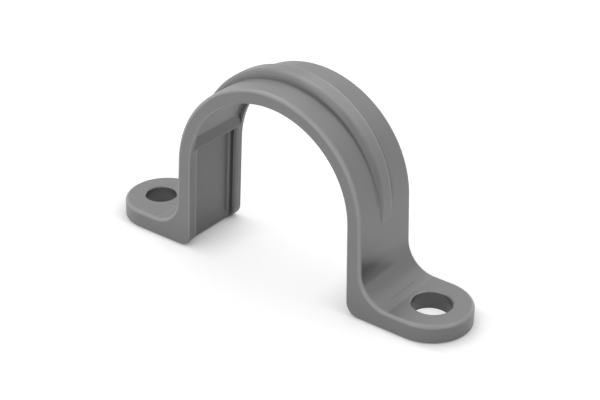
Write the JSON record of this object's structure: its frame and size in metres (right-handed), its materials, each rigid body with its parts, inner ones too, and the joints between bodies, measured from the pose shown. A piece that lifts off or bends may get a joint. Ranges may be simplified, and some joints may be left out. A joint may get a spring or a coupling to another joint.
{
  "type": "two-hole conduit strap",
  "caption": "Arched plastic strap that holds a round conduit against a flat surface, with a flat drilled foot on either side and a crescent rib on its back.",
  "frame": {"origin": "on the mounting plane, straight below the conduit's axis, midway between the ends of the two feet", "axes": "+X from the seat's middle towards one foot, +Y along the conduit, +Z away from the mounting plane"},
  "size_m": [0.0734, 0.0152, 0.0375],
  "materials": {
    "strap": "grey moulded plastic with a fine matt texture"
  },
  "bodies": {
    "root": {"strap": "strap"}
  },
  "joints": []
}
